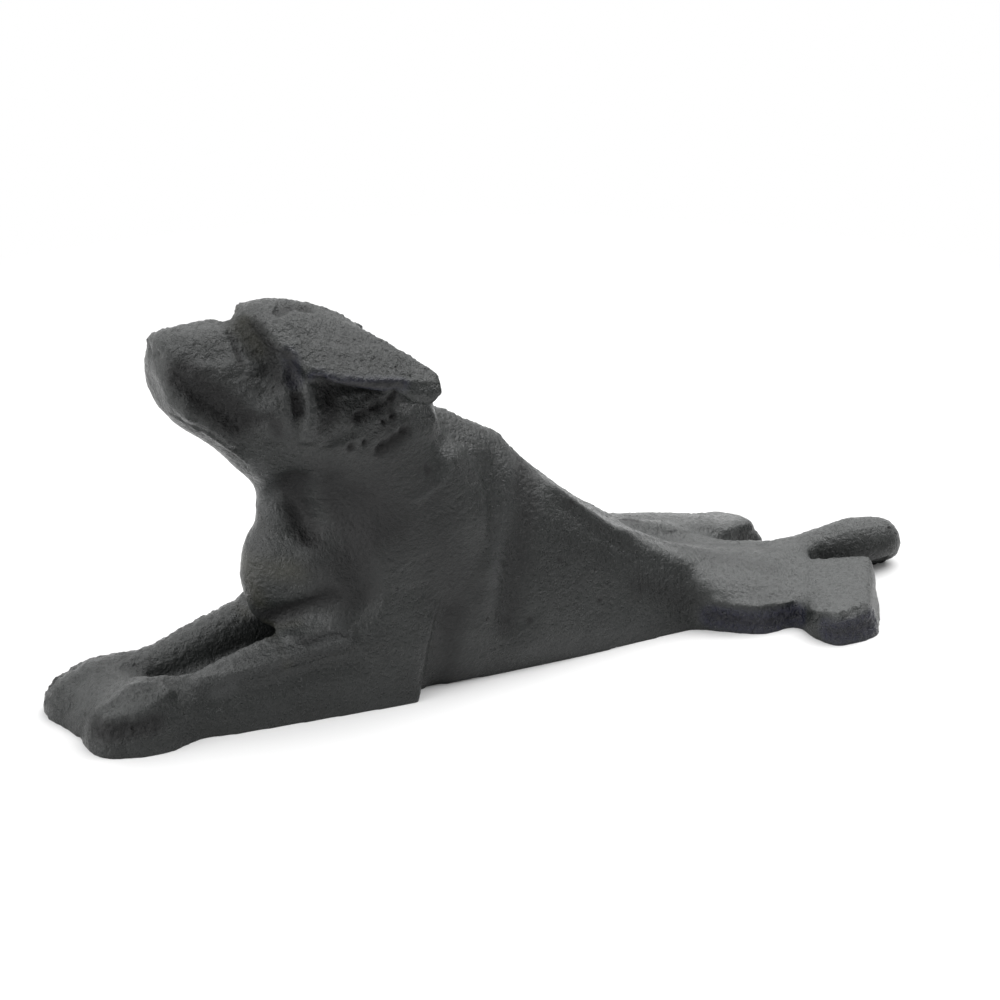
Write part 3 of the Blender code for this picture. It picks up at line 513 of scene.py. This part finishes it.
def model_limbs(skin):
    """Ridges along the forelegs, folds over them, the rear edge of the elbows and the paws, with painted
    highlights on the folds, ridges and knuckles, and painted shade under the folds, in the crook, under
    the arm and on the front of the paws.
    """
    top_ridge = [(18, 6.3), (24.9, 7.3), (28.8, 7.9), (33.1, 7.6), (38, 8.2)]
    skin.draw("top", top_ridge, 2.6, 0.75, sides=LEFT)
    fold = [(42.6, 15.6), (45.5, 17), (48.8, 17.9), (51, 17.2)]
    skin.draw("side", fold, 2.4, 0.9)
    # Painted highlight on the fold.
    skin.mark("worn_and_painted_highlight", "side", fold, 2.2, 0.8)
    under_fold = [(44.6, 15), (48.2, 15.9), (52, 15.6)]
    skin.draw("side", under_fold, 1.5, -0.4)
    skin.soften("side", [(39.6, 17), (44, 17), (49, 17.6), (54, 18)], 5.0, 20)
    # Painted shade under the fold.
    skin.mark("dark", "side", under_fold, 1.6, 0.7)
    ridge = [(23.5, 9.8), (29.1, 10.9), (34.9, 11.9), (42.8, 13.2), (51.8, 14.4)]
    skin.draw("side", ridge, 2.6, 1.5, keen=0.6, sides=LEFT)
    under_ridge = [(25, 6.4), (31, 7.4), (37, 8.4), (45, 9.6), (53, 10.6)]
    skin.draw("side", under_ridge, 3.4, -0.5, sides=LEFT)
    # Painted highlight along the ridge and the top of the foreleg.
    skin.mark("worn_and_painted_highlight", "side", ridge, 2.2, 1.2)
    skin.mark("dust_and_painted_light", "side", ridge, 1.6, 0.5)
    skin.mark("worn_and_painted_highlight", "side", [(24, 11.4), (30, 12.4), (36, 13.4), (44, 15), (50, 16)], 2.0, 0.9)
    skin.mark("rough", "side", ridge, 3.0, 1.0)
    crook = [(42.3, 17.4), (44, 19), (46, 21), (50, 23)]
    skin.soften("side", [(37.9, 20), (38.6, 18), (39.6, 17.4), (41.4, 17.6)], 4.6, 16)
    skin.draw("side", crook, 3.0, -0.4)
    # Painted shade in the crook of the leg and under the arm.
    skin.mark("dark", "side", crook, 3.2, 0.9)
    skin.mark("dark", "side", [(39.5, 17.5), (42, 18.4), (44.5, 19.6)], 2.8, 0.8)
    skin.mark("dark", "side", [(48, 32), (50, 27), (51, 22)], 6.0, 0.6)
    skin.mark("olive", "side", [(38.8, 15.4), (41.6, 16), (45, 16.6)], 2.2, 0.6)
    skin.mark("olive", "side", [(37.6, 29), (37.8, 25), (38.4, 21)], 4.0, 0.6)
    elbow = [(65.4, 1), (66.6, 3.7), (67.8, 11.4), (69.2, 16.4), (71.1, 18.6)]
    skin.draw("side", elbow, 1.3, 0.35, keen=0.5)
    inner_paw = [(4, 2.4), (7, 3), (11, 3.6)]
    skin.soften("top", inner_paw, 5.5, 30, sides=LEFT)
    toe_gap = [(3.6, 5.2), (5.2, 7.0), (7.8, 6.8), (11, 6.7)]
    skin.draw("top", toe_gap, 2.8, -0.5, sides=LEFT)
    knuckles = [(4.2, 7.2), (8.3, 8), (10.8, 8.7), (13.7, 9.5), (16.4, 9.8)]
    skin.draw("side", knuckles, 2.8, 0.9, keen=0.3, sides=LEFT)
    # Painted highlight on the knuckles.
    skin.mark("worn_and_painted_highlight", "side", [(8.3, 8.4), (10.8, 9), (13.7, 9.8)], 1.6, 0.8, sides=LEFT)
    front = [(2.8, 5.2), (5.8, 5.2), (9.4, 5.4), (12.4, 6)]
    skin.draw("side", front, 2.6, -0.3, sides=LEFT)
    skin.mark("rough", "side", front, 4.0, 2.0)
    # Painted shade on the front of the paw.
    skin.mark("dark", "side", front, 3.2, 1.4)
    skin.mark("rough", "front", [(5, 4), (9, 4.5), (13, 4)], 6.0, 1.0)


def model_rear(skin):
    """Crests and walls of the rear, the soft valley beside the far leg, and the tail, with a painted
    highlight along the thigh, painted light on the wall beside the far leg, painted shade in the furrow,
    the streak and on the walls, and a painted blue reflection on the walls.
    """
    crest = [(100, 6), (106.2, 7), (111.6, 7.2), (117.9, 7.8)]
    skin.draw("top", crest, 1.4, 0.25, keen=0.5)
    rump = [(121, 7.6), (124, 8.2), (127, 8.9), (130, 10)]
    skin.soften("top", rump, 7.0, 26)
    thigh = [(114.6, 7), (119, 4), (124.5, 1.8), (130.4, 2.9), (135.8, 5.3), (141.3, 7.6), (146.4, 10.5)]
    skin.draw("top", thigh, 2.8, 0.35, sides=LEFT)
    # Painted highlight along the thigh's edge.
    skin.mark("worn_and_painted_highlight", "top", thigh, 3.0, 0.6, sides=LEFT)
    furrow = [(124, -1), (130, -2), (136, -1.6), (142, 0), (149, 1.6)]
    # Painted shade in the furrow.
    skin.mark("dark", "top", furrow, 4.4, 0.35, sides=LEFT)
    valley = [(122, 3), (128, 3.2), (134, 2.6), (140, 1.4), (146, 0.2), (150, -1)]
    skin.draw("top", valley, 6.0, -1.2, sides=RIGHT)
    far_ridge = [(124, 7.6), (130, 8), (136, 8.2), (141, 8.4), (145, 9)]
    skin.draw("top", far_ridge, 3.2, 1.3, sides=RIGHT)
    far_thigh = [(116, 15), (122, 16), (130, 16.5), (138, 17), (146, 17.5)]
    skin.draw("top", far_thigh, 5.6, 0.35, sides=RIGHT)
    skin.draw("top", [(143, 8.3), (147, 8.6), (150, 9)], 3.6, 1.6, sides=RIGHT)
    # Painted light on the shaded wall beside the far leg.
    skin.mark("dust_and_painted_light", "top", [(138, 9.5), (144, 10), (150, 10.8)], 4.0, 1.0, sides=RIGHT)
    skin.soften("top", [(147, 8), (150, 8.6), (153, 10)], 4.0, 14, sides=RIGHT)
    skin.soften("top", [(124, 6), (132, 6.6), (140, 7), (146, 8)], 5.0, 14, sides=RIGHT)
    streak = [(116, 8.8), (120, 8.4), (125, 8.2)]
    skin.draw("top", streak, 1.5, -0.5, sides=RIGHT)
    # Painted shadow in the streak.
    skin.mark("dark", "top", streak, 1.8, 1.2, sides=RIGHT)
    walls = (
        (
            [(131, 6.4), (134.2, 5.8), (138.5, 5.4), (145, 5.3)],
            [(130.6, 3.2), (135, 2.6), (140, 2.4), (146, 2.6)],
        ),
        (
            [(147.3, 5.2), (149.2, 6), (152.5, 6.2), (156.3, 6.4)],
            [(147.8, 2.8), (150, 2.8), (154, 2.8), (158, 3)],
        ),
    )
    for edge, wall in walls:
        skin.draw("side", edge, 1.4, 0.8, keen=0.9, sides=LEFT)
        skin.draw("side", wall, 2.4, -0.4, sides=LEFT)
        # Painted shade and a painted blue reflection on the walls.
        skin.mark("blue_reflection_and_gloss", "side", wall, 3.4, 1.4, sides=LEFT)
        skin.mark("rough", "side", wall, 3.6, 1.6, sides=LEFT)
        skin.mark("dark", "side", wall, 3.0, 0.8, sides=LEFT)
    under_tail = [(166, 0.6), (170, 0.4), (175.5, 0.8)]
    skin.draw("side", under_tail, 3.6, -2.4, sides=LEFT)


MODELS = (
    model_muzzle,
    model_brow,
    model_ears,
    model_neck,
    model_shoulders,
    model_limbs,
    model_rear,
)


def fine_copy(voxel):
    """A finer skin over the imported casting, as a mesh of its own."""
    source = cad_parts[CASTING].data.copy()
    shell = bmesh.new()
    shell.from_mesh(source)
    bmesh.ops.remove_doubles(shell, verts=shell.verts, dist=MERGE_GAP)
    shell.to_mesh(source)
    shell.free()
    helper = bpy.data.objects.new("skin_source", source)
    bpy.context.scene.collection.objects.link(helper)
    fuse = helper.modifiers.new("finer", "REMESH")
    fuse.mode = "VOXEL"
    fuse.voxel_size = voxel * MM
    graph = bpy.context.evaluated_depsgraph_get()
    mesh = bpy.data.meshes.new_from_object(helper.evaluated_get(graph))
    bpy.data.objects.remove(helper, do_unlink=True)
    mesh.name = "dog_skin"
    mesh.materials.clear()
    return mesh


def node_tree(name):
    """A new material with an empty node tree, and functions that add nodes and link them."""
    material = bpy.data.materials.new(name)
    material.use_nodes = True
    nodes = material.node_tree.nodes
    nodes.clear()

    def add(kind, **values):
        node = nodes.new(kind)
        for key, value in values.items():
            if key.startswith("in_"):
                node.inputs[key[3:].replace("_", " ")].default_value = value
            else:
                setattr(node, key, value)
        return node

    return material, add, material.node_tree.links.new


def black_paint(paint):
    """Satin black paint over rough cast iron, lighter on top as dust and painted top light, with painted
    highlights, a painted blue reflection and painted shade in the hollows.
    """
    material, add, link = node_tree(PAINT)
    place = add("ShaderNodeTexCoord").outputs["Object"]
    out = add("ShaderNodeOutputMaterial")
    shader = add("ShaderNodeBsdfPrincipled")
    shader.inputs["Specular IOR Level"].default_value = 0.45

    def clouds(scale, detail):
        texture = add("ShaderNodeTexNoise", in_Scale=scale, in_Detail=detail, in_Roughness=0.6)
        link(place, texture.inputs["Vector"])
        return texture.outputs["Fac"]

    def ranged(value, start, end, low=0.0, high=1.0):
        node = add("ShaderNodeMapRange", in_From_Min=start, in_From_Max=end)
        node.inputs["To Min"].default_value = low
        node.inputs["To Max"].default_value = high
        link(value, node.inputs["Value"])
        return node.outputs["Result"]

    def product(one, two):
        node = add("ShaderNodeMath", operation="MULTIPLY")
        link(one, node.inputs[0])
        link(two, node.inputs[1])
        return node.outputs[0]

    def marked(name):
        return add("ShaderNodeAttribute", attribute_name=name).outputs["Fac"]

    def tinted(share, under, colour):
        node = add("ShaderNodeMix", data_type="RGBA")
        link(share, node.inputs[0])
        link(under, node.inputs[6])
        node.inputs[7].default_value = (*colour, 1.0)
        return node.outputs[2]

    patches = clouds(PATCHES, 4.0)
    pebbles = clouds(PEBBLES, 3.0)
    sand = clouds(SAND, 2.0)

    base = add("ShaderNodeMix", data_type="RGBA")
    link(ranged(patches, 0.35, 0.65), base.inputs[0])
    base.inputs[6].default_value = (*paint.dark, 1.0)
    base.inputs[7].default_value = (*paint.light, 1.0)
    colour = base.outputs[2]
    # Dust, painted top light and painted highlights.
    colour = tinted(product(marked("dust_and_painted_light"), ranged(pebbles, 0.3, 0.7, 0.4, 1.0)), colour, paint.dust_and_painted_light)
    # Rubbed paint and painted highlights.
    colour = tinted(ranged(marked("worn_and_painted_highlight"), 0.0, 1.0, 0.0, 0.9), colour, paint.worn_and_painted_highlight)
    colour = tinted(product(marked("olive"), ranged(patches, 0.3, 0.7, 0.3, 1.0)), colour, paint.olive)
    # A painted blue reflection.
    colour = tinted(product(marked("blue_reflection_and_gloss"), ranged(pebbles, 0.3, 0.7, 0.3, 1.0)), colour, paint.blue_reflection_and_gloss)
    # Painted shade.
    colour = tinted(ranged(marked("dark"), 0.0, 1.0, 0.0, 0.95), colour, paint.painted_shade_black)
    pinholes = add("ShaderNodeTexVoronoi", in_Scale=PINHOLES)
    link(place, pinholes.inputs["Vector"])
    pinhole = ranged(pinholes.outputs["Distance"], 0.03, 0.06, 1.0, 0.0)
    # Painted shade in the pinholes.
    colour = tinted(pinhole, colour, paint.painted_shade_black)
    link(colour, shader.inputs["Base Color"])

    roughness = ranged(pebbles, 0.3, 0.7, paint.roughness - 0.1, paint.roughness + 0.1)
    for name, change in (("dark", 0.25), ("blue_reflection_and_gloss", -0.16)):
        changed = add("ShaderNodeMath", operation="MULTIPLY_ADD")
        link(marked(name), changed.inputs[0])
        changed.inputs[1].default_value = change
        link(roughness, changed.inputs[2])
        roughness = changed.outputs[0]
    link(roughness, shader.inputs["Roughness"])

    strength = ranged(marked("rough"), 0.0, 1.0, 1.0, 2.4)
    coarse = add("ShaderNodeBump", in_Strength=1.0, in_Distance=paint.grain * MM)
    link(product(pebbles, strength), coarse.inputs["Height"])
    fine = add("ShaderNodeBump", in_Strength=1.0, in_Distance=0.3 * paint.grain * MM)
    link(sand, fine.inputs["Height"])
    link(coarse.outputs["Normal"], fine.inputs["Normal"])
    dent = add("ShaderNodeBump", in_Strength=1.0, in_Distance=PINHOLE_DEPTH * MM, invert=True)
    link(pinhole, dent.inputs["Height"])
    link(fine.outputs["Normal"], dent.inputs["Normal"])
    link(dent.outputs["Normal"], shader.inputs["Normal"])
    link(shader.outputs["BSDF"], out.inputs["Surface"])
    return material


def colour_property(name, description, default):
    """A colour that a user can set."""
    return bpy.props.FloatVectorProperty(
        name=name, description=description, subtype="COLOR", size=3, min=0.0, max=1.0, default=default
    )


class CastingSettings(bpy.types.PropertyGroup):
    """How fine the skin is and how rough the sand left it."""

    voxel: bpy.props.FloatProperty(
        name="Skin fineness", description="Edge of a skin face, in millimetres", default=0.6, min=0.3
    )
    grain_height: bpy.props.FloatProperty(
        name="Grain height", description="Height of the sand grain, in millimetres", default=0.1, min=0.0
    )


class PaintSettings(bpy.types.PropertyGroup):
    """The black paint."""

    dark: colour_property("Dark tone", "Paint in its darker patches", (0.009, 0.0102, 0.0098))
    light: colour_property("Light tone", "Paint in its lighter patches", (0.016, 0.018, 0.0172))
    # Dust, used also as painted top light and painted highlights.
    dust_and_painted_light: colour_property("Dust", "Dust on what faces up", (0.082, 0.086, 0.085))
    # Rubbed paint, used also as painted highlight on lit ridges and bands.
    worn_and_painted_highlight: colour_property("Worn", "Paint where hands have rubbed it", (0.03, 0.032, 0.032))
    olive: colour_property("Olive stain", "Stain in the eye hollows", (0.04, 0.039, 0.026))
    # A painted blue reflection on shaded walls and hollows; the same mark also makes the paint glossier.
    blue_reflection_and_gloss: colour_property("Blue black", "Glossy paint on steep walls", (0.010, 0.011, 0.04))
    # Painted shade in pits, hollows and pinholes.
    painted_shade_black: colour_property("Deep black", "Paint in pits and hollows", (0.004, 0.004, 0.0042))
    roughness: bpy.props.FloatProperty(
        name="Roughness", description="How matt the paint is", default=0.32, min=0.1, max=0.9
    )
    grain: bpy.props.FloatProperty(
        name="Fine grain", description="Height of the finest grain, in millimetres", default=0.34
    )


class StudioSettings(bpy.types.PropertyGroup):
    """Camera, lamps and floor."""

    azimuth: bpy.props.FloatProperty(
        name="Camera turn", description="From straight at the dog's left side towards its nose",
        subtype="ANGLE", default=math.radians(26.55),
    )
    elevation: bpy.props.FloatProperty(
        name="Camera height", description="Angle above the floor", subtype="ANGLE",
        default=math.radians(24.15),
    )


class DOORSTOP_OT_cast_dog(bpy.types.Operator):
    """Make the dog's skin and paint it"""

    bl_idname = "doorstop.cast_dog"
    bl_label = "Cast dog"

    def execute(self, context):
        settings = context.scene.doorstop_casting
        skin = Skin(fine_copy(settings.voxel))
        skin.relax(EVENING_PASSES, SWELL)
        for model in MODELS:
            model(skin)
        skin.store()
        skin.settle_dust_and_top_light()
        skin.grain(settings.grain_height)
        skin.seat(GROUND_OFF)
        skin.keep_marks()
        dog = bpy.data.objects.new("dog_skin", skin.mesh)
        context.scene.collection.objects.link(dog)
        skin.mesh.materials.append(black_paint(context.scene.doorstop_paint))
        skin.mesh.shade_smooth()
        skin.mesh.set_sharp_from_angle(angle=SHARP_EDGE)
        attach(dog, "root")
        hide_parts(CASTING)
        return {"FINISHED"}


class DOORSTOP_OT_set_stage(bpy.types.Operator):
    """Set up the floor, the lamps, the world and the camera"""

    bl_idname = "doorstop.set_stage"
    bl_label = "Set stage"

    def execute(self, context):
        studio = context.scene.doorstop_studio
        white_world(context.scene)
        pale_floor()
        for name, (place, size, power) in SOFTBOXES.items():
            lamp(name, place, size, power)
        photo_camera(context.scene, studio)
        context.scene.view_settings.view_transform = "Standard"
        return {"FINISHED"}


def white_world(scene):
    """A world that the camera sees as white, and that lights the dog like a pale sweep behind it.

    The side that the camera stands on is dimmer, as a studio is, so that the flanks stay dark.
    """
    world = bpy.data.worlds.new("studio_world")
    scene.world = world
    world.use_nodes = True
    nodes = world.node_tree.nodes
    link = world.node_tree.links.new
    nodes.clear()
    way = nodes.new("ShaderNodeTexCoord")
    facing = nodes.new("ShaderNodeVectorMath")
    facing.operation = "DOT_PRODUCT"
    facing.inputs[1].default_value = SWEEP_SIDE
    link(way.outputs["Generated"], facing.inputs[0])
    level = nodes.new("ShaderNodeMapRange")
    level.interpolation_type = "SMOOTHSTEP"
    level.inputs["From Min"].default_value = SWEEP_START
    level.inputs["From Max"].default_value = SWEEP_END
    level.inputs["To Min"].default_value = DIM_SIDE
    level.inputs["To Max"].default_value = BRIGHT_SIDE
    link(facing.outputs["Value"], level.inputs["Value"])
    rays = nodes.new("ShaderNodeLightPath")
    seen = nodes.new("ShaderNodeMath")
    seen.operation = "MAXIMUM"
    link(rays.outputs["Is Camera Ray"], seen.inputs[0])
    link(rays.outputs["Is Transmission Ray"], seen.inputs[1])
    strength = nodes.new("ShaderNodeMath")
    strength.operation = "MAXIMUM"
    link(level.outputs["Result"], strength.inputs[0])
    link(seen.outputs[0], strength.inputs[1])
    sky = nodes.new("ShaderNodeBackground")
    sky.inputs["Color"].default_value = (1, 1, 1, 1)
    link(strength.outputs[0], sky.inputs["Strength"])
    out = nodes.new("ShaderNodeOutputWorld")
    link(sky.outputs[0], out.inputs["Surface"])


def pale_floor():
    """A white floor that takes the dog's shadow and fades to the white of the background at its rim."""
    sheet = bmesh.new()
    bmesh.ops.create_circle(sheet, cap_ends=True, segments=FLOOR_SEGMENTS, radius=FLOOR_RADIUS)
    data = bpy.data.meshes.new("floor")
    sheet.to_mesh(data)
    sheet.free()
    floor = bpy.data.objects.new("floor", data)
    floor.location.z = FLOOR_BOX[0][2] - FLOOR_GAP
    bpy.context.scene.collection.objects.link(floor)
    material, add, link = node_tree("white_floor")
    rays = add("ShaderNodeLightPath")
    matt = add("ShaderNodeBsdfDiffuse", in_Color=(FLOOR_WHITE, FLOOR_WHITE, FLOOR_WHITE, 1))
    glow = add("ShaderNodeEmission", in_Color=(1, 1, 1, 1), in_Strength=1.0)
    reach = add("ShaderNodeVectorMath", operation="LENGTH")
    link(add("ShaderNodeTexCoord").outputs["Object"], reach.inputs[0])
    fade = add("ShaderNodeMapRange", in_From_Min=FADE_START, in_From_Max=FADE_END)
    fade.inputs["To Min"].default_value = LEAST_GLOW
    link(reach.outputs["Value"], fade.inputs["Value"])
    share = add("ShaderNodeMath", operation="MULTIPLY")
    link(fade.outputs["Result"], share.inputs[1])
    link(rays.outputs["Is Camera Ray"], share.inputs[0])
    mix = add("ShaderNodeMixShader")
    link(share.outputs[0], mix.inputs[0])
    link(matt.outputs[0], mix.inputs[1])
    link(glow.outputs[0], mix.inputs[2])
    out = add("ShaderNodeOutputMaterial")
    link(mix.outputs[0], out.inputs["Surface"])
    data.materials.append(material)


def lamp(name, place, size, power):
    """A square softbox aimed at the dog."""
    data = bpy.data.lights.new(name, "AREA")
    data.shape = "SQUARE"
    data.size = size
    data.energy = power
    box = bpy.data.objects.new(name, data)
    box.location = place
    box.rotation_euler = Vector(place).to_track_quat("Z", "Y").to_euler()
    bpy.context.scene.collection.objects.link(box)


def photo_camera(scene, studio):
    """A long lens that looks at the dog from the photograph's angle."""
    turn, tilt = studio.azimuth, studio.elevation
    ahead = Vector((math.sin(turn) * math.cos(tilt), math.cos(turn) * math.cos(tilt), -math.sin(tilt)))
    right = Vector((math.cos(turn), -math.sin(turn), 0))
    up = right.cross(ahead)
    spot = AIM - ahead * CAMERA_DISTANCE
    data = bpy.data.cameras.new("photo_camera")
    data.sensor_width = SENSOR_WIDTH
    data.lens = LENS
    data.shift_x = SHIFT_ACROSS
    data.shift_y = SHIFT_UP
    camera = bpy.data.objects.new("photo_camera", data)
    turned = Matrix((right, up, -ahead)).transposed().to_4x4()
    camera.matrix_world = Matrix.Translation(spot) @ turned
    scene.collection.objects.link(camera)
    scene.camera = camera


class DOORSTOP_PT_panel(bpy.types.Panel):
    """The doorstop's settings and its two steps"""

    bl_idname = "DOORSTOP_PT_panel"
    bl_label = "Dog doorstop"
    bl_space_type = "VIEW_3D"
    bl_region_type = "UI"
    bl_category = "Doorstop"

    def draw(self, context):
        scene = context.scene
        for settings in (scene.doorstop_casting, scene.doorstop_paint, scene.doorstop_studio):
            box = self.layout.box()
            for name in settings.__annotations__:
                box.prop(settings, name)
        self.layout.operator("doorstop.cast_dog")
        self.layout.operator("doorstop.set_stage")


CLASSES = (
    CastingSettings,
    PaintSettings,
    StudioSettings,
    DOORSTOP_OT_cast_dog,
    DOORSTOP_OT_set_stage,
    DOORSTOP_PT_panel,
)


def register():
    for kind in CLASSES:
        bpy.utils.register_class(kind)
    bpy.types.Scene.doorstop_casting = bpy.props.PointerProperty(type=CastingSettings)
    bpy.types.Scene.doorstop_paint = bpy.props.PointerProperty(type=PaintSettings)
    bpy.types.Scene.doorstop_studio = bpy.props.PointerProperty(type=StudioSettings)


def unregister():
    del bpy.types.Scene.doorstop_studio
    del bpy.types.Scene.doorstop_paint
    del bpy.types.Scene.doorstop_casting
    for kind in reversed(CLASSES):
        bpy.utils.unregister_class(kind)


def main():
    """Builds everything."""
    register()
    bpy.ops.doorstop.cast_dog()
    bpy.ops.doorstop.set_stage()


if __name__ == "__main__":
    main()
